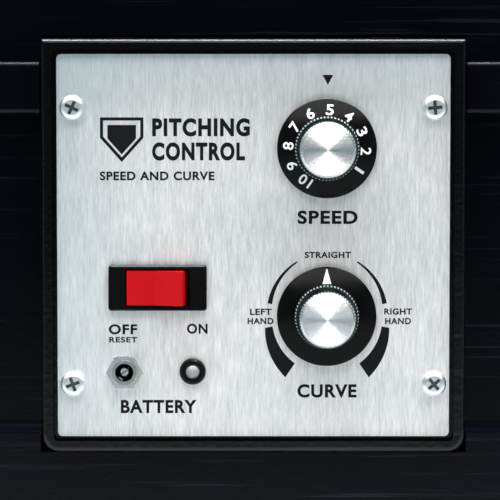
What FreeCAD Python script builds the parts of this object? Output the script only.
"""Baseball pitching machine with a battery, in a moulded case. Millimetres.

+Z is up and the origin is on the floor, under the middle of the machine. The control
panel is on the -Y end of the case, and balls leave through the window in the +Y end.
Things on the control panel are made in the panel's own axes, x to the right, y up and
z out of its face, and on_panel puts them in place.
"""
import FreeCAD, Part
import math
import os

# ---- case
case_half_x = 160.0
case_half_y = 245.0
case_wall = 4.0
case_corner = 22.0
floor_z = 12.0            # underside of the case, so also the height of the feet
ledge_z = 187.7           # top of the wide base section
ledge_rise = 3.2          # height of the sloping ledge above it
ledge_step = 9.0          # how far the wall above the ledge is set in
seam_z = 300.0            # where the cover meets the lower case
flange_out = 8.0          # how far the flanges stand out of the upper wall
lower_flange = 8.0
upper_flange = 9.0
cover_top_z = 345.0
edge_round = 1.6
window_half_x = 56.0
window_low_z = 142.0
window_top_z = 284.0
foot_radius = 16.0
foot_inset = 40.0
foot_taper = 2.0
cover_screw_radius = 2.0
cover_screw_head_radius = 3.7
cover_screw_head_height = 2.0
cover_screw_side_y = 190.0   # screws along the sides: one in the middle and one to each end
cover_screw_end_x = 110.0    # screws across the ends: one to each side
window_corner = 12.0
overcut = 1.0             # how far a cutting tool passes the face that it cuts

# ---- control pod and panel
panel_width = 127.0
panel_height = 124.0
panel_thick = 1.6
panel_corner = 1.5
panel_z = 249.5           # height of the panel's centre
panel_gap = 1.4           # between the panel's edge and the rim of the pod
rim_above_panel = 2.0
pod_proud = 7.0           # rim of the pod in front of the base section
pod_wall = 3.6
pod_depth = 40.0
pod_clearance = 1.0       # between the pod and the case around it
pod_corner = 5.5
ledge_under_panel = 3.0
panel_opening_x = 102.0
panel_opening_y = 100.0
panel_screw_x = 58.5
panel_screw_y = 44.8
screw_head_radius = 4.1
screw_head_height = 2.6
screw_shank_radius = 1.9
screw_length = 10.0
screw_recess = (2.3, 0.55, 1.5)   # reach, half width and depth of the cross recess
screw_turns = (20.0, 65.0, 40.0, 5.0)
screw_boss_length = 12.0
ear_reach = 12.0          # ears of the pod, behind the case's wall
ear_thick = 3.0
ear_margin = 8.0

# ---- dials
dial_x = 23.7
speed_dial_y = 31.7
curve_dial_y = -22.7
skirt_radius = 16.1
skirt_lift = 1.0          # gap between skirt and panel
grip_radius = 9.9
grip_top_radius = 9.3
dial_height = 14.6
dial_nut_room = 9.0       # radius of the room for the nut under a dial
dial_cap_radius = 8.8
dial_cap_height = 1.7
flute_count = 36
flute_radius = 0.45
pot_shaft_radius = 3.15
pot_bushing_radius = 4.7
pot_body_radius = 12.0
pot_body_depth = 9.4
pot_bushing_top = 3.4
pot_nut = (12.7, 2.2)     # across flats, height
running_gap = 0.05

# ---- switch, jack and lamp on the panel
switch_x, switch_y = -31.0, -13.5
switch_bezel = (31.8, 14.8)
switch_body = (27.0, 13.4)
switch_bezel_thick = 2.0
switch_depth = 18.0
switch_room_depth = 9.5
terminal_blade = (0.8, 6.3, 7.0)  # thickness, width, length
terminal_pitch = 8.0
rocker_size = (19.8, 11.1)
rocker_swing = 11.0       # degrees to each side of the middle
rocker_pivot_depth = 1.0  # behind the panel's face
rocker_pin_radius = 1.2
rocker_valley = 2.9       # height of the middle of the rocker's face
rocker_crest = 4.4        # height of its two ends
jack_x, jack_y = -41.8, -40.9
jack_thread_radius = 3.97
jack_bore_radius = 2.95
jack_nut_flats = 10.4
jack_nut_height = 2.3
jack_thread_top = 3.2
jack_body_radius = 5.4
jack_body_depth = 15.0
jack_bore_depth = 9.5
jack_pin_radius = 1.25
lamp_x, lamp_y = -19.7, -40.8
lamp_radius = 2.5
lamp_bezel_radius = 4.25
lamp_bezel_height = 1.7
lamp_sleeve = 0.7         # wall of the lamp holder behind the panel
board_behind_switch = 13.0
board_thick = 1.6
board_half_x = 61.0
board_half_z = 38.0
standoff_x = 57.0
standoff_z = 28.0
standoff_radius = 3.0

# ---- ball feed
ball_diameter = 73.0
pocket_clearance = 4.5    # round the ball in its pocket and in the drop tube
feed_y = -70.0            # centre of the feed disc
motor_room = 3.5          # between the feed motor and the drop tube
pocket_count = 4
disc_rim = 6.5            # between a pocket and the edge of the disc
disc_thick = 34.0
well_gap = 1.5
well_wall = 3.0
well_floor_z = 330.0
tube_wall = 2.5
tube_bottom_z = 235.0
feed_motor_radius = 28.0
feed_motor_height = 62.0
feed_shaft_radius = 5.0
feed_shaft_below = 24.0   # length of the shaft inside the gearmotor
feed_shaft_above = 30.0
disc_cone_radius = 28.0
disc_cone_top_radius = 12.0
disc_cone_height = 20.0
disc_bevel = 6.0
well_rim = 3.0

# ---- hopper
hopper_wall = 3.0
hopper_top_z = 480.0
hopper_top_half_x = 165.0
hopper_top_half_y = 250.0
hopper_mouth_margin = 13.0
hopper_lip = 6.0
hopper_foot = 6.0         # flange that stands on the cover
hopper_mouth_corner = 20.0
hopper_top_corner = 34.0

# ---- throwing head, level at rest
pivot_y = 5.0
pivot_z = 138.0
head_shaft_radius = 6.0
saddle_over_shaft = 2.0   # metal between the shaft and the plate's underside
head_plate_thick = 3.0
head_half_x = 125.0
head_back_y = -30.0
head_front_y = 171.0
wheel_y = 110.0
wheel_squeeze = 6.5       # how far each wheel would press into the ball
wheel_radius = 56.0
wheel_cup = 2.0           # hollow in the tread that the ball runs in
wheel_width = 32.0
hub_radius = 40.0
motor_radius = 30.0
motor_height = 84.0
motor_shaft_radius = 4.0
motor_boss_height = 8.0
hub_boss_radius = 13.0
hub_rim = 5.0
hub_web = 8.0
hub_hole_radius = 5.5
hub_hole_circle = 24.0
hub_hole_count = 6
plate_hole_gap = 8.0      # round a motor shaft
plate_rear_hole = (85.0, 20.0, 14.0)   # x, y and radius
clamp_x = 105.0
clamp_half_x = 12.0
clamp_half_y = 15.0
clamp_under_shaft = 5.0
trough_clearance = 3.5    # between the ball and each side of the trough
trough_wall = 2.5
trough_gap = 4.5          # between the top of the trough's sides and the wheels
barrel_clearance = 7.5    # round the ball in the barrel
barrel_wall = 3.0
barrel_end_y = 216.0
barrel_face_margin = 12.0
bracket_x = 131.0
bracket_thick = 5.0
bracket_half_y = 32.0
bracket_head_radius = 20.0
bracket_foot = (22.0, 4.0)        # reach and thickness
bushing_wall = 3.0
bushing_proud = 2.0
lever_x = 166.0
lever_thick = 5.0
lever_half_y = 10.0
lever_length = 52.0
lever_grip_length = 28.0
lever_grip_thick = 14.0
lever_hole_gap = 1.5
clamp_knob_radius = 20.0
clamp_knob_thick = 15.0
clamp_knob_lobes = 6
clamp_knob_hollow = 7.0
shaft_reach = 11.0        # of the head shaft into the clamp knob

# ---- base plate, battery, travelling wheels, handles
base_plate_thick = 2.5
battery_size = (151.0, 98.0, 95.0)
battery_back_y = -218.0
battery_lid_inset = 3.0
battery_lid_height = 6.0
battery_tab = (6.4, 0.8, 8.0)
battery_tab_inset = (16.0, 18.0)
strap_width = 20.0
strap_thick = 1.5
strap_foot = 16.0
lead_radius = 1.8
cart_radius = 50.0
cart_width = 25.0
cart_gap = 4.0
cart_lift = 5.0           # clear of the floor until the machine is tipped
axle_radius = 5.0
cart_hub_radius = 14.0
cart_rim_radius = 38.0    # inside of the rim
cart_shoulder = 5.0
cart_chamfer = 3.0
cart_web_inset = 8.0
handle_z = 264.0
handle_half_y = 52.0
handle_drop = 52.0
handle_stand_off = 12.0
handle_bar_radius = 4.0
handle_grip_radius = 8.0
handle_pin_reach = 18.0
lug_near = 7.0            # lugs, measured along Y from the handle's arms
lug_far = 20.0
lug_half_z = 12.0
lug_past_pin = 7.0

# ---- worked out from the above
upper_inset = ledge_step
flange_inset = ledge_step - flange_out
pod_half_x = panel_width / 2 + panel_gap + pod_wall
pod_half_z = panel_height / 2 + panel_gap + pod_wall
rim_y = -case_half_y - pod_proud
panel_face_y = rim_y + rim_above_panel
panel_back_y = panel_face_y + panel_thick
pod_back_y = rim_y + pod_depth
board_y = panel_face_y + switch_depth + board_behind_switch
pocket_radius = ball_diameter / 2 + pocket_clearance
pocket_circle = feed_motor_radius + motor_room + tube_wall + pocket_radius
drop_y = feed_y + pocket_circle
disc_radius = pocket_circle + pocket_radius + disc_rim
wheel_x = ball_diameter / 2 + wheel_radius - wheel_squeeze
trough_half_x = ball_diameter / 2 + trough_clearance
trough_side = ball_diameter / 2 - wheel_width / 2 - trough_gap
barrel_radius = ball_diameter / 2 + barrel_clearance
plate_under_z = pivot_z + head_shaft_radius + saddle_over_shaft
plate_top_z = plate_under_z + head_plate_thick
trough_floor_z = plate_top_z + trough_wall
ball_z = trough_floor_z + ball_diameter / 2
wheel_low_z = ball_z - wheel_width / 2
wheel_high_z = ball_z + wheel_width / 2
well_radius = disc_radius + well_gap
base_plate_top_z = floor_z + case_wall + base_plate_thick
axle_z = cart_radius + cart_lift
dial_top = dial_height + dial_cap_height
axle_y = -(panel_face_y - dial_top) - cart_radius
cart_outer_x = case_half_x + cart_gap + cart_width


def vec(x, y, z):
    return FreeCAD.Vector(x, y, z)


def block(x0, x1, y0, y1, z0, z1):
    return Part.makeBox(x1 - x0, y1 - y0, z1 - z0, vec(x0, y0, z0))


def edges_along(solid, axis):
    index = "XYZ".index(axis)
    return [edge for edge in solid.Edges if abs(edge.tangentAt(edge.FirstParameter)[index]) > 0.99]


def edges_at(solid, axis, level):
    """Edges whose ends all lie at one level of an axis."""
    index = "xyz".index(axis)
    return [edge for edge in solid.Edges
            if all(abs(vertex.Point[index] - level) < 1e-6 for vertex in edge.Vertexes)]


def rounded_block(x0, x1, y0, y1, z0, z1, radius, along="Z"):
    """Block whose four edges along one axis are rounded."""
    solid = block(x0, x1, y0, y1, z0, z1)
    return solid.makeFillet(radius, edges_along(solid, along))


def outline(x0, x1, y0, y1, z, radius):
    """Level closed outline with rounded corners, for a loft."""
    slab = rounded_block(x0, x1, y0, y1, z, z + 1.0, radius)
    return min(slab.Faces, key=lambda face: face.CenterOfMass.z).OuterWire


def loft(low, high):
    return Part.makeLoft([low, high], True, True)


def rod(radius, start, end):
    return Part.makeCylinder(radius, (end - start).Length, start, end - start)


def upright(radius, x, y, z0, z1):
    return rod(radius, vec(x, y, z0), vec(x, y, z1))


def turned(profile):
    """Solid turned about Z from (radius, height) points."""
    points = [vec(radius, 0, height) for radius, height in profile]
    solid = Part.Face(Part.makePolygon(points + points[:1])).revolve(vec(0, 0, 0), vec(0, 0, 1), 360)
    return solid if solid.Volume > 0 else solid.reversed()


def prism(points, height_vector):
    """Straight solid from a flat closed outline."""
    return Part.Face(Part.makePolygon(points + points[:1])).extrude(height_vector)


def hexagon(across_flats, z0, z1):
    corner = across_flats / math.sqrt(3)
    points = [vec(corner * math.cos(math.radians(60 * k)), corner * math.sin(math.radians(60 * k)), z0)
              for k in range(6)]
    return prism(points, vec(0, 0, z1 - z0))


def fused(*solids):
    """One solid from pieces that overlap or touch."""
    return solids[0].multiFuse(list(solids[1:])).removeSplitter()


def cut(solid, *tools):
    return solid.cut(list(tools))


def moved(solid, x, y, z):
    copy = solid.copy()
    copy.translate(vec(x, y, z))
    return copy


def mirrored_x(solid):
    return solid.mirror(vec(0, 0, 0), vec(1, 0, 0))


def on_panel(solid, x=0.0, y=0.0):
    """Put a piece made in the panel's own axes onto the control panel."""
    placed = solid.copy()
    placed.rotate(vec(0, 0, 0), vec(1, 0, 0), 90)
    placed.translate(vec(x, panel_face_y, panel_z + y))
    return placed


def save(name, *solids):
    shape = solids[0] if len(solids) == 1 else Part.makeCompound(list(solids))
    shape.exportStep(f"parts/{name}.step")


# ---- case shells

def case_block(z0, z1, inset):
    """Solid of the case's plan, drawn in by inset."""
    return rounded_block(-case_half_x + inset, case_half_x - inset, -case_half_y + inset,
                         case_half_y - inset, z0, z1, case_corner - inset)


def case_outline(z, inset):
    return outline(-case_half_x + inset, case_half_x - inset, -case_half_y + inset,
                   case_half_y - inset, z, case_corner - inset)


def flange(z0, z1, rounded_z):
    """Flange round the case with one outer edge eased."""
    slab = case_block(z0, z1, flange_inset)
    return slab.makeFillet(edge_round, edges_at(slab, "z", rounded_z))


def pod_cut():
    """Space that the control pod takes out of the case shells."""
    return block(-pod_half_x - pod_clearance, pod_half_x + pod_clearance,
                 -case_half_y - pod_proud, -case_half_y + pod_depth,
                 panel_z - pod_half_z - pod_clearance, panel_z + pod_half_z + pod_clearance)


def cover_screw_places():
    """Screws stand in the flange, clear of the pod and the corners."""
    from_edge = flange_inset + flange_out / 2 - 0.5
    x_line = case_half_x - from_edge
    y_line = case_half_y - from_edge
    sides = [(side * x_line, along * cover_screw_side_y) for side in (-1, 1) for along in (-1, 0, 1)]
    ends = [(side * cover_screw_end_x, end * y_line) for end in (-1, 1) for side in (-1, 1)]
    return sides + ends


def make_lower_case():
    outside = fused(case_block(floor_z, ledge_z, 0.0),
                    loft(case_outline(ledge_z, 0.0), case_outline(ledge_z + ledge_rise, upper_inset)),
                    case_block(ledge_z + ledge_rise, seam_z, upper_inset),
                    flange(seam_z - lower_flange, seam_z, seam_z - lower_flange))
    hollow = fused(case_block(floor_z + case_wall, ledge_z + ledge_rise - case_wall, case_wall),
                   case_block(floor_z + case_wall, seam_z + overcut, upper_inset + case_wall))
    window = rounded_block(-window_half_x, window_half_x, case_half_y - case_corner, case_half_y + overcut,
                           window_low_z, window_top_z, window_corner, "Y")
    lever_hole = rod(head_shaft_radius + lever_hole_gap, vec(case_half_x - case_corner, pivot_y, pivot_z),
                     vec(case_half_x + overcut, pivot_y, pivot_z))
    axle_hole = rod(axle_radius, vec(-case_half_x - overcut, axle_y, axle_z),
                    vec(case_half_x + overcut, axle_y, axle_z))
    screw_holes = [upright(cover_screw_radius, x, y, seam_z - lower_flange - overcut, seam_z + overcut)
                   for x, y in cover_screw_places()]
    return cut(outside, hollow, window, pod_cut(), lever_hole, axle_hole, *screw_holes)


def make_upper_cover():
    wall = case_block(seam_z, cover_top_z, upper_inset)
    wall = wall.makeFillet(4 * edge_round, edges_at(wall, "z", cover_top_z))
    outside = fused(wall, flange(seam_z, seam_z + upper_flange, seam_z + upper_flange))
    hollow = case_block(seam_z - overcut, cover_top_z - case_wall, upper_inset + case_wall)
    well_hole = upright(well_radius + well_wall, 0, feed_y, seam_z, cover_top_z + overcut)
    screw_holes = [upright(cover_screw_radius, x, y, seam_z - overcut, seam_z + upper_flange + overcut)
                   for x, y in cover_screw_places()]
    return cut(outside, hollow, well_hole, pod_cut(), *screw_holes)


def make_cover_screws():
    head_z = seam_z + upper_flange
    screws = []
    for x, y in cover_screw_places():
        top_z = head_z + cover_screw_head_height
        head = upright(cover_screw_head_radius, x, y, head_z, top_z)
        head = head.makeFillet(cover_screw_head_height / 2, edges_at(head, "z", top_z))
        shank = upright(cover_screw_radius, x, y, seam_z - lower_flange - 2 * cover_screw_radius, head_z)
        reach = 0.7 * cover_screw_head_radius
        slot = block(x - reach, x + reach, y - 0.4, y + 0.4,
                     top_z - cover_screw_head_height / 2, top_z + overcut)
        screws.append(cut(fused(head, shank), slot))
    return screws


def foot_places():
    x = case_half_x - foot_inset
    y = case_half_y - foot_inset
    return [(-x, -y), (x, -y), (x, y), (-x, y)]


def make_feet():
    return [Part.makeCone(foot_radius - foot_taper, foot_radius, floor_z, vec(x, y, 0))
            for x, y in foot_places()]


# ---- control pod and panel

def make_control_pod():
    """Deep bezel: rim, ledge that the panel screws to, open box behind and ears inside the wall."""
    box = block(-pod_half_x, pod_half_x, rim_y, pod_back_y, panel_z - pod_half_z, panel_z + pod_half_z)
    lengthwise = edges_along(box, "Y")
    box = box.makeFillet(pod_corner, [edge for edge in lengthwise if edge.CenterOfMass.z < panel_z])
    box = box.makeFillet(edge_round, edges_at(box, "y", rim_y))
    recess_x = panel_width / 2 + panel_gap
    recess_z = panel_height / 2 + panel_gap
    recess = rounded_block(-recess_x, recess_x, rim_y - overcut, panel_back_y,
                           panel_z - recess_z, panel_z + recess_z, panel_corner, "Y")
    opening = block(-panel_opening_x / 2, panel_opening_x / 2, rim_y, pod_back_y + overcut,
                    panel_z - panel_opening_y / 2, panel_z + panel_opening_y / 2)
    back = block(-recess_x, recess_x, panel_back_y + ledge_under_panel, pod_back_y + overcut,
                 panel_z - recess_z, panel_z + recess_z)
    ear_y = -case_half_y + upper_inset + case_wall
    ears = []
    for side in (-1, 1):
        x0, x1 = sorted((side * (pod_half_x - pod_wall / 2), side * (pod_half_x + ear_reach)))
        ears.append(block(x0, x1, ear_y, ear_y + ear_thick,
                          ledge_z + ledge_rise + ear_margin, seam_z - ear_margin))
    bosses = [rod(2 * screw_shank_radius, vec(x, panel_back_y + 1.0, z),
                  vec(x, panel_back_y + screw_boss_length, z)) for x, z in panel_screw_places()]
    holes = [rod(screw_shank_radius, vec(x, rim_y, z), vec(x, panel_back_y + screw_boss_length - 1.0, z))
             for x, z in panel_screw_places()]
    hollow = cut(box, recess, opening, back)
    return cut(fused(hollow, *ears, *bosses, *board_posts()), *holes)


def panel_screw_places():
    return [(side * panel_screw_x, panel_z + end * panel_screw_y) for side in (-1, 1) for end in (-1, 1)]


def make_control_panel():
    plate = rounded_block(-panel_width / 2, panel_width / 2, -panel_height / 2, panel_height / 2,
                          -panel_thick, 0.0, panel_corner)
    low, high = -panel_thick - overcut, overcut
    holes = [upright(screw_shank_radius + 0.3, side * panel_screw_x, end * panel_screw_y, low, high)
             for side in (-1, 1) for end in (-1, 1)]
    holes += [upright(pot_bushing_radius, dial_x, y, low, high) for y in (speed_dial_y, curve_dial_y)]
    holes.append(upright(jack_thread_radius, jack_x, jack_y, low, high))
    holes.append(upright(lamp_radius + lamp_sleeve, lamp_x, lamp_y, low, high))
    half_x, half_y = switch_body[0] / 2, switch_body[1] / 2
    holes.append(block(switch_x - half_x, switch_x + half_x, switch_y - half_y, switch_y + half_y, low, high))
    return on_panel(cut(plate, *holes))


def make_panel_screws():
    head = upright(screw_head_radius, 0, 0, 0, screw_head_height)
    head = head.makeFillet(0.75 * screw_head_height, edges_at(head, "z", screw_head_height))
    shank = upright(screw_shank_radius, 0, 0, -screw_length, 0.5)
    arm, width, depth = screw_recess
    low, high = screw_head_height - depth, screw_head_height + overcut
    cross = [block(-arm, arm, -width, width, low, high), block(-width, width, -arm, arm, low, high)]
    screw = cut(fused(head, shank), *cross)
    screws = []
    for (x, z), turn in zip(panel_screw_places(), screw_turns):
        turned_screw = screw.copy()
        turned_screw.rotate(vec(0, 0, 0), vec(0, 0, 1), turn)
        screws.append(on_panel(turned_screw, x, z - panel_z))
    return screws


def make_dial():
    """Skirted knob with a fluted grip, open below for the nut and bored for the shaft."""
    grip_base = skirt_lift + 4.0
    knob = turned([(dial_nut_room, skirt_lift), (skirt_radius, skirt_lift), (skirt_radius, skirt_lift + 1.2),
                   (skirt_radius - 0.6, skirt_lift + 1.8), (grip_radius + 0.4, grip_base - 0.4),
                   (grip_radius, grip_base), (grip_top_radius, dial_height), (0, dial_height),
                   (0, dial_height - 2.0), (pot_shaft_radius, dial_height - 2.0),
                   (pot_shaft_radius, skirt_lift + 2.9), (dial_nut_room, skirt_lift + 2.9)])
    flutes = []
    for k in range(flute_count):
        angle = 2 * math.pi * k / flute_count
        ray = vec(math.cos(angle), math.sin(angle), 0)
        flutes.append(rod(flute_radius, ray * (grip_radius + 0.15) + vec(0, 0, grip_base + 0.5),
                          ray * (grip_top_radius + 0.15) + vec(0, 0, dial_height + 1.0)))
    return cut(knob, *flutes)


def make_dial_cap():
    return turned([(0, dial_height), (dial_cap_radius, dial_height),
                   (dial_cap_radius, dial_height + 0.5 * dial_cap_height),
                   (dial_cap_radius - 0.7, dial_top), (0, dial_top)])


def make_pot():
    """Speed or curve control: round body, threaded bushing and its lugs."""
    body = upright(pot_body_radius, 0, 0, -panel_thick - pot_body_depth, -panel_thick)
    bushing = upright(pot_bushing_radius, 0, 0, -panel_thick - 0.5, pot_bushing_top)
    lug_z = -panel_thick - 0.8 * pot_body_depth
    lugs = [block(x - 1.2, x + 1.2, -pot_body_radius - 7.0, -pot_body_radius + 2.0, lug_z, lug_z + 0.8)
            for x in (-5.0, 0.0, 5.0)]
    bore = upright(pot_shaft_radius + running_gap, 0, 0, -panel_thick - 0.7 * pot_body_depth,
                   pot_bushing_top + overcut)
    return cut(fused(body, bushing, *lugs), bore)


def make_pot_shaft():
    return upright(pot_shaft_radius, 0, 0, -panel_thick - 0.65 * pot_body_depth, dial_height - 2.0)


def make_pot_nut():
    across_flats, height = pot_nut
    return cut(hexagon(across_flats, 0.0, height),
               upright(pot_bushing_radius, 0, 0, -overcut, height + overcut))


def make_switch_body():
    half_x, half_y = switch_bezel[0] / 2, switch_bezel[1] / 2
    bezel = rounded_block(-half_x, half_x, -half_y, half_y, 0.0, switch_bezel_thick, 1.0)
    bezel = bezel.makeChamfer(0.5, edges_at(bezel, "z", switch_bezel_thick))
    barrel = block(-switch_body[0] / 2, switch_body[0] / 2, -switch_body[1] / 2, switch_body[1] / 2,
                   -switch_depth, 0.5)
    room_x, room_y = rocker_size[0] / 2 + 0.45, rocker_size[1] / 2 + 0.3
    room = block(-room_x, room_x, -room_y, room_y, -switch_room_depth, switch_bezel_thick + overcut)
    pin_hole = rod(rocker_pin_radius + running_gap, vec(0, -half_y + 0.9, -rocker_pivot_depth),
                   vec(0, half_y - 0.9, -rocker_pivot_depth))
    return cut(fused(bezel, barrel), room, pin_hole)


def make_rocker():
    """Rocker with a shallow V face, tipped to off: left end in, right end out."""
    half_x, half_y = rocker_size[0] / 2 - 0.7, rocker_size[1] / 2
    face_points = [vec(-half_x, -half_y, -6.0), vec(half_x, -half_y, -6.0),
                   vec(half_x, -half_y, rocker_crest), vec(0, -half_y, rocker_valley),
                   vec(-half_x, -half_y, rocker_crest)]
    paddle = prism(face_points, vec(0, 2 * half_y, 0))
    paddle = paddle.makeFillet(0.4, edges_along(paddle, "Y"))
    pin = rod(rocker_pin_radius, vec(0, -half_y - 0.6, -rocker_pivot_depth),
              vec(0, half_y + 0.6, -rocker_pivot_depth))
    rocker = fused(paddle, pin)
    rocker.rotate(vec(0, 0, -rocker_pivot_depth), vec(0, 1, 0), -rocker_swing)
    return rocker


def make_switch_terminals():
    thick, width, length = terminal_blade
    return [block(x - thick / 2, x + thick / 2, -width / 2, width / 2, -switch_depth - length, -switch_depth)
            for x in (-terminal_pitch, 0.0, terminal_pitch)]


def make_charge_jack():
    thread = upright(jack_thread_radius, 0, 0, -panel_thick - 0.5, jack_thread_top)
    body = upright(jack_body_radius, 0, 0, -jack_body_depth, -panel_thick)
    return cut(fused(body, thread),
               upright(jack_bore_radius, 0, 0, -jack_bore_depth, jack_thread_top + overcut))


def make_jack_nut():
    nut = hexagon(jack_nut_flats, 0.0, jack_nut_height)
    eased = Part.makeCone(0.5 * jack_nut_flats + 3.0, 0.5 * jack_nut_flats, jack_nut_height + 0.6)
    return cut(nut.common(eased), upright(jack_thread_radius, 0, 0, -overcut, jack_nut_height + overcut))


def make_jack_contacts():
    pin = upright(jack_pin_radius, 0, 0, -jack_bore_depth, jack_pin_radius)
    split = block(-0.18, 0.18, -2.0, 2.0, -4.0, 2.0)
    split.rotate(vec(0, 0, 0), vec(0, 0, 1), -58)
    leaf = block(-0.8, 0.8, -2.75, -2.35, -jack_bore_depth, 0.4)
    leaf.rotate(vec(0, 0, 0), vec(0, 0, 1), -32)
    return [cut(pin, split), leaf]


def make_lamp_bezel():
    inner = lamp_radius + running_gap
    sleeve = lamp_radius + lamp_sleeve
    return turned([(inner, -4.0), (sleeve, -4.0), (sleeve, 0), (lamp_bezel_radius, 0),
                   (lamp_bezel_radius, 0.5 * lamp_bezel_height),
                   (lamp_bezel_radius - 0.7, lamp_bezel_height), (inner, lamp_bezel_height)])


def make_lamp():
    dome_z = 0.2
    lens = fused(upright(lamp_radius, 0, 0, -5.0, dome_z), Part.makeSphere(lamp_radius, vec(0, 0, dome_z)))
    legs = [block(x - 0.25, x + 0.25, -0.25, 0.25, -14.0, -4.5) for x in (-1.27, 1.27)]
    return fused(lens, *legs)


def make_board():
    return block(-board_half_x, board_half_x, board_y, board_y + board_thick,
                 panel_z - board_half_z, panel_z + board_half_z)


def board_posts():
    """Posts moulded on the back of the pod's ledge, which carry the control board."""
    ledge_back_y = panel_back_y + ledge_under_panel
    return [rod(standoff_radius, vec(x, ledge_back_y - 1.0, panel_z + z), vec(x, board_y, panel_z + z))
            for x in (-standoff_x, standoff_x) for z in (-standoff_z, standoff_z)]


def make_board_parts():
    """Heat sink, two smoothing capacitors, relay and terminal strip on the back of the board."""
    back_y = board_y + board_thick
    sink = block(-50.0, 0.0, back_y, back_y + 4.0, panel_z + 2.0, panel_z + 34.0)
    fins = [block(x, x + 2.0, back_y + 3.0, back_y + 18.0, panel_z + 2.0, panel_z + 34.0)
            for x in (-50.0, -38.0, -26.0, -14.0, -2.0)]
    capacitors = [rod(6.5, vec(x, back_y, panel_z + 20.0), vec(x, back_y + 20.0, panel_z + 20.0))
                  for x in (18.0, 36.0)]
    relay = block(12.0, 34.0, back_y, back_y + 15.0, panel_z - 22.0, panel_z - 4.0)
    strip = block(-50.0, -2.0, back_y, back_y + 10.0, panel_z - 32.0, panel_z - 22.0)
    return [fused(sink, *fins), *capacitors, relay, strip]


# ---- ball feed and hopper

def make_feed_well():
    """Round dish under the hopper, with the hole that drops one ball."""
    outer = well_radius + well_wall
    low_z, rim_z = well_floor_z - well_wall, cover_top_z
    dish = turned([(0, low_z), (outer, low_z), (outer, rim_z), (outer + well_rim, rim_z),
                   (outer + well_rim, rim_z + well_rim), (well_radius, rim_z + well_rim),
                   (well_radius, well_floor_z), (0, well_floor_z)])
    dish = moved(dish, 0, feed_y, 0)
    drop_hole = upright(pocket_radius, 0, drop_y, low_z - overcut, well_floor_z + overcut)
    shaft_hole = upright(feed_shaft_radius + running_gap, 0, feed_y, low_z - overcut, well_floor_z + overcut)
    return cut(dish, drop_hole, shaft_hole)


def make_drop_tube():
    top_z = well_floor_z - well_wall
    tube = upright(pocket_radius + tube_wall, 0, drop_y, tube_bottom_z, top_z)
    return cut(tube, upright(pocket_radius, 0, drop_y, tube_bottom_z - overcut, top_z + overcut))


def make_feed_motor():
    top_z = well_floor_z - well_wall
    can = upright(feed_motor_radius, 0, feed_y, top_z - feed_motor_height, top_z)
    bore = upright(feed_shaft_radius + running_gap, 0, feed_y,
                   top_z - feed_shaft_below - 1.0, top_z + overcut)
    return cut(can, bore)


def make_feed_shaft():
    return upright(feed_shaft_radius, 0, feed_y, well_floor_z - well_wall - feed_shaft_below,
                   well_floor_z + feed_shaft_above)


def make_feed_disc():
    """Pocketed disc with a raised cone that keeps the balls turning over."""
    base_z = well_floor_z + 1.0
    top_z = base_z + disc_thick
    cone_z = top_z + disc_cone_height
    disc = turned([(0, base_z), (disc_radius, base_z), (disc_radius, top_z - disc_bevel),
                   (disc_radius - disc_bevel, top_z), (disc_cone_radius, top_z),
                   (disc_cone_top_radius, cone_z), (0, cone_z)])
    pockets = []
    for k in range(pocket_count):
        angle = math.radians(90 + 360 / pocket_count * k)
        x, y = pocket_circle * math.cos(angle), pocket_circle * math.sin(angle)
        pockets.append(upright(pocket_radius, x, y, base_z - overcut, cone_z + overcut))
    bore = upright(feed_shaft_radius, 0, 0, base_z - overcut, well_floor_z + feed_shaft_above)
    return moved(cut(disc, *pockets, bore), 0, feed_y, 0)


def hopper_mouth(margin):
    """Half width and Y limits of the hopper's mouth over the disc."""
    half = well_radius + margin
    return half, feed_y - half, feed_y + half


def make_hopper():
    """Flared bin: its long front wall slopes back to the feed disc."""
    base_z = cover_top_z
    outer, back, front = hopper_mouth(hopper_mouth_margin)
    wall = hopper_wall
    skin = loft(outline(-outer, outer, back, front, base_z, hopper_mouth_corner),
                outline(-hopper_top_half_x, hopper_top_half_x, -hopper_top_half_y, hopper_top_half_y,
                        hopper_top_z, hopper_top_corner))
    lip = rounded_block(-hopper_top_half_x, hopper_top_half_x, -hopper_top_half_y, hopper_top_half_y,
                        hopper_top_z - hopper_lip, hopper_top_z, hopper_top_corner)
    inside_x = hopper_top_half_x - wall - 1.0
    inside_y = hopper_top_half_y - wall - 1.0
    room = loft(outline(-outer + wall, outer - wall, back + wall, front - wall, base_z - 0.01,
                        hopper_mouth_corner - wall),
                outline(-inside_x, inside_x, -inside_y, inside_y, hopper_top_z + 0.01,
                        hopper_top_corner - wall - 1.0))
    foot = rounded_block(-outer - hopper_foot, outer + hopper_foot, back - hopper_foot, front + hopper_foot,
                         base_z, base_z + wall, hopper_mouth_corner + hopper_foot)
    return cut(fused(skin, lip, foot), room)


# ---- throwing head, all of it tilting on the head shaft

def make_head_plate():
    plate = block(-head_half_x, head_half_x, head_back_y, head_front_y, plate_under_z, plate_top_z)
    rear_x, rear_y, rear_radius = plate_rear_hole
    low_z, high_z = plate_under_z - overcut, plate_top_z + overcut
    holes = []
    for side in (-1, 1):
        holes.append(upright(motor_shaft_radius + plate_hole_gap, side * wheel_x, wheel_y, low_z, high_z))
        holes.append(upright(rear_radius, side * rear_x, rear_y, low_z, high_z))
    return cut(plate, *holes)


def make_head_shaft():
    return rod(head_shaft_radius, vec(-bracket_x - bracket_thick - 9.0, pivot_y, pivot_z),
               vec(lever_x + lever_thick + shaft_reach, pivot_y, pivot_z))


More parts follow.
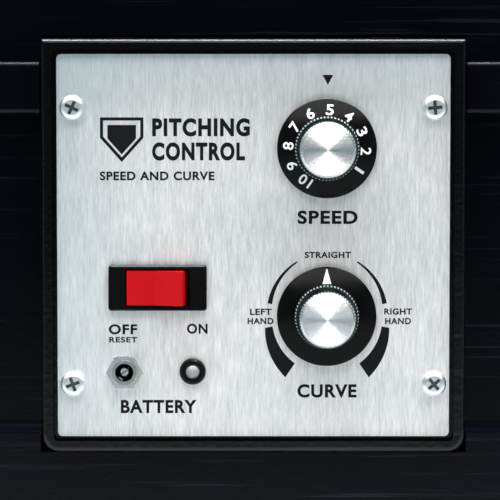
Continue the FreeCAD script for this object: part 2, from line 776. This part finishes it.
def make_shaft_clamps():
    """Saddles that hold the plate on the shaft."""
    clamps = []
    for side in (-1, 1):
        x0, x1 = side * clamp_x - clamp_half_x, side * clamp_x + clamp_half_x
        saddle = block(x0, x1, pivot_y - clamp_half_y, pivot_y + clamp_half_y,
                       pivot_z - head_shaft_radius - clamp_under_shaft, plate_under_z)
        clamps.append(cut(saddle, rod(head_shaft_radius, vec(x0 - overcut, pivot_y, pivot_z),
                                      vec(x1 + overcut, pivot_y, pivot_z))))
    return clamps


def make_ball_trough():
    """Channel from under the drop tube, between the wheels, to the barrel."""
    half = trough_half_x
    start_y = head_back_y
    floor = block(-half, half, start_y, head_front_y, plate_top_z, trough_floor_z)
    sides = [block(x0, x0 + trough_wall, start_y, head_front_y, plate_top_z, trough_floor_z + trough_side)
             for x0 in (-half, half - trough_wall)]
    stop = block(-half, half, start_y, start_y + trough_wall, plate_top_z, trough_floor_z + 1.6 * trough_side)
    return fused(floor, *sides, stop)


def make_exit_barrel():
    half = barrel_radius + barrel_face_margin
    face = rounded_block(-half, half, head_front_y, head_front_y + barrel_wall,
                         plate_under_z, ball_z + barrel_radius + barrel_face_margin / 2, 8.0, "Y")
    axis_start = vec(0, head_front_y, ball_z)
    axis_end = vec(0, barrel_end_y, ball_z)
    ring = rod(barrel_radius + barrel_wall, axis_start, axis_end)
    past = vec(0, overcut, 0)
    return cut(fused(face, ring), rod(barrel_radius, axis_start - past, axis_end + past))


def make_throw_motor():
    """Can with an end boss, on the left side of the head; the right one is its mirror image."""
    bottom_z = plate_under_z - motor_height
    can_z = bottom_z + motor_boss_height
    can = upright(motor_radius, -wheel_x, wheel_y, can_z, plate_under_z)
    boss = upright(0.45 * motor_radius, -wheel_x, wheel_y, bottom_z, can_z + 1.0)
    bore = upright(motor_shaft_radius + running_gap, -wheel_x, wheel_y,
                   plate_under_z - motor_radius, plate_under_z + overcut)
    return cut(fused(can, boss), bore)


def make_motor_shaft():
    return upright(motor_shaft_radius, -wheel_x, wheel_y,
                   plate_under_z - motor_radius + 2.0, wheel_high_z - 2.0)


def make_throw_hub():
    """Dished hub with a bored boss and six lightening holes."""
    web_low, web_high = ball_z - hub_web / 2, ball_z + hub_web / 2
    boss_low, boss_high = wheel_low_z + 4.0, wheel_high_z - 2.0
    inner = hub_radius - hub_rim
    hub = turned([(motor_shaft_radius, boss_low), (hub_boss_radius, boss_low), (hub_boss_radius, web_low),
                  (inner, web_low), (inner, wheel_low_z), (hub_radius, wheel_low_z),
                  (hub_radius, wheel_high_z), (inner, wheel_high_z), (inner, web_high),
                  (hub_boss_radius, web_high), (hub_boss_radius, boss_high), (motor_shaft_radius, boss_high)])
    holes = []
    for k in range(hub_hole_count):
        angle = 2 * math.pi * k / hub_hole_count
        x, y = hub_hole_circle * math.cos(angle), hub_hole_circle * math.sin(angle)
        holes.append(upright(hub_hole_radius, x, y, web_low - overcut, web_high + overcut))
    return moved(cut(hub, *holes), -wheel_x, wheel_y, 0)


def make_throw_tyre():
    """Solid tyre with a shallow hollow round its tread."""
    shoulder = wheel_width / 2
    tread_radius = (shoulder ** 2 + wheel_cup ** 2) / (2 * wheel_cup)
    ring = cut(upright(wheel_radius, 0, 0, wheel_low_z, wheel_high_z),
               upright(hub_radius, 0, 0, wheel_low_z - overcut, wheel_high_z + overcut))
    groove = Part.makeTorus(wheel_radius - wheel_cup + tread_radius, tread_radius, vec(0, 0, ball_z))
    return moved(cut(ring, groove), -wheel_x, wheel_y, 0)


def make_pivot_brackets():
    """Upright plates on the base plate that carry the head shaft in bushings."""
    brackets = []
    foot_reach, foot_thick = bracket_foot
    y0, y1 = pivot_y - bracket_half_y, pivot_y + bracket_half_y
    for side in (-1, 1):
        x0, x1 = sorted((side * bracket_x, side * (bracket_x + bracket_thick)))
        foot0, foot1 = sorted((side * (bracket_x - foot_reach), side * (bracket_x + bracket_thick)))
        plate = block(x0, x1, y0, y1, base_plate_top_z, pivot_z)
        head = rod(bracket_head_radius, vec(x0, pivot_y, pivot_z), vec(x1, pivot_y, pivot_z))
        foot = block(foot0, foot1, y0, y1, base_plate_top_z, base_plate_top_z + foot_thick)
        hole = rod(head_shaft_radius + bushing_wall, vec(x0 - overcut, pivot_y, pivot_z),
                   vec(x1 + overcut, pivot_y, pivot_z))
        brackets.append(cut(fused(plate, head, foot), hole))
    return brackets


def make_pivot_bushings():
    bushings = []
    for side in (-1, 1):
        x0, x1 = sorted((side * (bracket_x - bushing_proud),
                         side * (bracket_x + bracket_thick + bushing_proud)))
        sleeve = rod(head_shaft_radius + bushing_wall, vec(x0, pivot_y, pivot_z), vec(x1, pivot_y, pivot_z))
        bushings.append(cut(sleeve, rod(head_shaft_radius + running_gap, vec(x0 - overcut, pivot_y, pivot_z),
                                        vec(x1 + overcut, pivot_y, pivot_z))))
    return bushings


def make_elevation_lever():
    """Flat arm outside the case, with a ball-ended handle."""
    half = lever_half_y
    arm = rounded_block(lever_x, lever_x + lever_thick, pivot_y - half, pivot_y + half,
                        pivot_z - half - 2.0, pivot_z + lever_length, half - 2.0, "X")
    grip_x0 = lever_x - 2.0
    grip_x1 = grip_x0 + lever_grip_thick
    grip_top_z = pivot_z + lever_length + 4.0
    grip = rounded_block(grip_x0, grip_x1, pivot_y - half - 2.0, pivot_y + half + 2.0,
                         grip_top_z - lever_grip_length, grip_top_z, half - 4.0, "X")
    grip = grip.makeFillet(2.0, edges_at(grip, "x", grip_x1))
    bore = rod(head_shaft_radius, vec(lever_x - overcut, pivot_y, pivot_z),
               vec(lever_x + lever_thick + overcut, pivot_y, pivot_z))
    return cut(fused(arm, grip), bore)


def make_clamp_knob():
    """Star knob on the end of the shaft."""
    x0 = lever_x + lever_thick
    x1 = x0 + clamp_knob_thick
    knob = rod(clamp_knob_radius, vec(x0, pivot_y, pivot_z), vec(x1, pivot_y, pivot_z))
    hollows = []
    for k in range(clamp_knob_lobes):
        angle = 2 * math.pi * (k + 0.5) / clamp_knob_lobes
        y = pivot_y + (clamp_knob_radius + 3.0) * math.cos(angle)
        z = pivot_z + (clamp_knob_radius + 3.0) * math.sin(angle)
        hollows.append(rod(clamp_knob_hollow, vec(x0 - overcut, y, z), vec(x1 + overcut, y, z)))
    bore = rod(head_shaft_radius, vec(x0 - overcut, pivot_y, pivot_z),
               vec(x0 + shaft_reach, pivot_y, pivot_z))
    return cut(knob, *hollows, bore)


# ---- base plate, battery, travelling wheels, handles

def make_base_plate():
    return block(-case_half_x + case_corner, case_half_x - case_corner, -case_half_y + case_corner,
                 case_half_y - case_corner - 20.0, floor_z + case_wall, base_plate_top_z)


def make_battery():
    length, depth, height = battery_size
    inset = battery_lid_inset
    lid_z = base_plate_top_z + height - battery_lid_height
    case = rounded_block(-length / 2, length / 2, battery_back_y, battery_back_y + depth,
                         base_plate_top_z, lid_z, 2.0)
    lid = block(-length / 2 + inset, length / 2 - inset, battery_back_y + inset,
                battery_back_y + depth - inset, lid_z - 1.0, base_plate_top_z + height)
    return fused(case, lid)


def battery_terminal_places():
    length, depth, height = battery_size
    inset_x, inset_y = battery_tab_inset
    return [(side * (length / 2 - inset_x), battery_back_y + inset_y, base_plate_top_z + height)
            for side in (-1, 1)]


def make_battery_terminals():
    width, thick, tall = battery_tab
    return [block(x - width / 2, x + width / 2, y - thick / 2, y + thick / 2, z, z + tall)
            for x, y, z in battery_terminal_places()]


def make_battery_strap():
    length, depth, height = battery_size
    y0 = battery_back_y + (depth - strap_width) / 2
    y1 = y0 + strap_width
    top = base_plate_top_z + height
    thick = strap_thick
    outer = length / 2 + thick
    band = block(-outer, outer, y0, y1, base_plate_top_z, top + thick)
    feet = [block(x0, x0 + strap_foot + 0.5, y0, y1, base_plate_top_z, base_plate_top_z + thick)
            for x0 in (-outer - strap_foot, outer - 0.5)]
    room = block(-length / 2, length / 2, y0 - overcut, y1 + overcut, base_plate_top_z - overcut, top)
    return cut(fused(band, *feet), room)


def tube_run(radius, points):
    """Wire lead: straight runs joined by tangent arcs as large as the runs allow."""
    edges = []
    start = points[0]
    for before, corner, after in zip(points, points[1:], points[2:]):
        into = (corner - before).normalize()
        out = (after - corner).normalize()
        turn = into.getAngle(out)
        reach = 0.45 * min((corner - before).Length, (after - corner).Length)
        bend = reach / math.tan(turn / 2)
        first, last = corner - into * reach, corner + out * reach
        centre_line = (out - into).normalize()
        centre = corner + centre_line * math.hypot(bend, reach)
        middle = centre - centre_line * bend
        edges.append(Part.LineSegment(start, first).toShape())
        edges.append(Part.Arc(first, middle, last).toShape())
        start = last
    edges.append(Part.LineSegment(start, points[-1]).toShape())
    path = Part.Wire(edges)
    direction = (points[1] - points[0]).normalize()
    section = Part.Wire(Part.Circle(points[0], direction, radius).toShape())
    return path.makePipeShell([section], True, False)


def make_battery_leads():
    """Two leads from the board's terminal strip down to the battery's tabs."""
    leads = []
    tab_height = battery_tab[2]
    strip_y = board_y + board_thick + 10.0
    strip_z = panel_z - 27.0
    for (x, y, z), strip_x in zip(battery_terminal_places(), (-40.0, -24.0)):
        points = [vec(x, y, z + tab_height), vec(x, y, z + 26.0), vec((x + strip_x) / 2, y + 12.0, z + 44.0),
                  vec(strip_x, strip_y + 22.0, strip_z - 23.0), vec(strip_x, strip_y + 16.0, strip_z),
                  vec(strip_x, strip_y, strip_z)]
        leads.append(tube_run(lead_radius, points))
    return leads


def make_cart_axle():
    end_x = cart_outer_x - 1.0
    return rod(axle_radius, vec(-end_x, axle_y, axle_z), vec(end_x, axle_y, axle_z))


def make_cart_wheel():
    """Moulded wheel on the left: tread, dished web, hub."""
    inner, outer = case_half_x + cart_gap, cart_outer_x
    web_inner, web_outer = inner + cart_web_inset, outer - cart_web_inset
    edge_radius = cart_radius - cart_chamfer
    bore = axle_radius + running_gap
    profile = [(bore, inner), (cart_hub_radius, inner), (cart_hub_radius, web_inner),
               (cart_rim_radius, web_inner), (cart_rim_radius, inner + 1.0), (edge_radius, inner + 1.0),
               (cart_radius, inner + cart_shoulder), (cart_radius, outer - cart_shoulder),
               (edge_radius, outer - 1.0), (cart_rim_radius, outer - 1.0), (cart_rim_radius - 2.0, web_outer),
               (cart_hub_radius, web_outer), (cart_hub_radius - 2.0, outer), (bore, outer)]
    wheel = turned(profile)
    wheel.rotate(vec(0, 0, 0), vec(0, 1, 0), -90)
    return moved(wheel, 0, axle_y, axle_z)


def make_handle():
    """Folding bail on the left side, hanging down: two flat arms, a thick grip and two pins."""
    x = -case_half_x + upper_inset - handle_stand_off
    arm_half = handle_bar_radius + 1.0
    low_z = handle_z - handle_drop
    pieces = [rod(handle_grip_radius, vec(x, -handle_half_y, low_z), vec(x, handle_half_y, low_z))]
    for side in (-1, 1):
        y = side * handle_half_y
        pieces.append(rounded_block(x - arm_half, x + arm_half, y - handle_bar_radius, y + handle_bar_radius,
                                    low_z - arm_half, handle_z + arm_half + 1.0, 0.6 * arm_half, "Y"))
        pieces.append(rod(handle_bar_radius, vec(x, y, handle_z),
                          vec(x, y + side * handle_pin_reach, handle_z)))
    return fused(*pieces)


def make_handle_lugs():
    """Bearing blocks on both sides of the case that the bails turn in."""
    lugs = []
    wall_x = case_half_x - upper_inset
    for side in (-1, 1):
        for end in (-1, 1):
            y0, y1 = sorted((end * (handle_half_y + lug_near), end * (handle_half_y + lug_far)))
            x0, x1 = sorted((side * wall_x, side * (wall_x + handle_stand_off + lug_past_pin)))
            lug = rounded_block(x0, x1, y0, y1, handle_z - lug_half_z, handle_z + lug_half_z, 4.0, "Y")
            x = side * (wall_x + handle_stand_off)
            lugs.append(cut(lug, rod(handle_bar_radius + 0.08, vec(x, y0 - overcut, handle_z),
                                     vec(x, y1 + overcut, handle_z))))
    return lugs


def main():
    os.makedirs("parts", exist_ok=True)
    save("lower_case", make_lower_case())
    save("upper_cover", make_upper_cover())
    save("cover_screws", *make_cover_screws())
    save("rubber_feet", *make_feet())
    save("control_pod", make_control_pod())
    save("control_panel", make_control_panel())
    save("panel_screws", *make_panel_screws())
    for name, y in (("speed", speed_dial_y), ("curve", curve_dial_y)):
        save(f"{name}_knob", on_panel(make_dial(), dial_x, y))
        save(f"{name}_knob_cap", on_panel(make_dial_cap(), dial_x, y))
        save(f"{name}_pot", on_panel(make_pot(), dial_x, y))
        save(f"{name}_pot_shaft", on_panel(make_pot_shaft(), dial_x, y))
    save("pot_nuts", *[on_panel(make_pot_nut(), dial_x, y) for y in (speed_dial_y, curve_dial_y)])
    save("switch_body", on_panel(make_switch_body(), switch_x, switch_y))
    save("power_rocker", on_panel(make_rocker(), switch_x, switch_y))
    save("switch_terminals", *[on_panel(blade, switch_x, switch_y) for blade in make_switch_terminals()])
    save("charge_jack", on_panel(make_charge_jack(), jack_x, jack_y))
    save("charge_jack_nut", on_panel(make_jack_nut(), jack_x, jack_y))
    save("charge_jack_contacts", *[on_panel(piece, jack_x, jack_y) for piece in make_jack_contacts()])
    save("lamp_bezel", on_panel(make_lamp_bezel(), lamp_x, lamp_y))
    save("battery_lamp", on_panel(make_lamp(), lamp_x, lamp_y))
    save("control_board", make_board())
    save("board_parts", *make_board_parts())
    save("feed_well", make_feed_well())
    save("drop_tube", make_drop_tube())
    save("feed_motor", make_feed_motor())
    save("feed_shaft", make_feed_shaft())
    save("feed_disc", make_feed_disc())
    save("hopper", make_hopper())
    save("head_plate", make_head_plate())
    save("head_shaft", make_head_shaft())
    save("shaft_clamps", *make_shaft_clamps())
    save("ball_trough", make_ball_trough())
    save("exit_barrel", make_exit_barrel())
    for name, make in (("motor", make_throw_motor), ("motor_shaft", make_motor_shaft),
                       ("throw_hub", make_throw_hub), ("throw_tyre", make_throw_tyre),
                       ("cart_wheel", make_cart_wheel), ("side_handle", make_handle)):
        save(f"left_{name}", make())
        save(f"right_{name}", mirrored_x(make()))
    save("pivot_brackets", *make_pivot_brackets())
    save("pivot_bushings", *make_pivot_bushings())
    save("elevation_lever", make_elevation_lever())
    save("clamp_knob", make_clamp_knob())
    save("base_plate", make_base_plate())
    save("battery", make_battery())
    save("battery_terminals", *make_battery_terminals())
    save("battery_strap", make_battery_strap())
    save("battery_leads", *make_battery_leads())
    save("cart_axle", make_cart_axle())
    save("handle_lugs", *make_handle_lugs())


main()
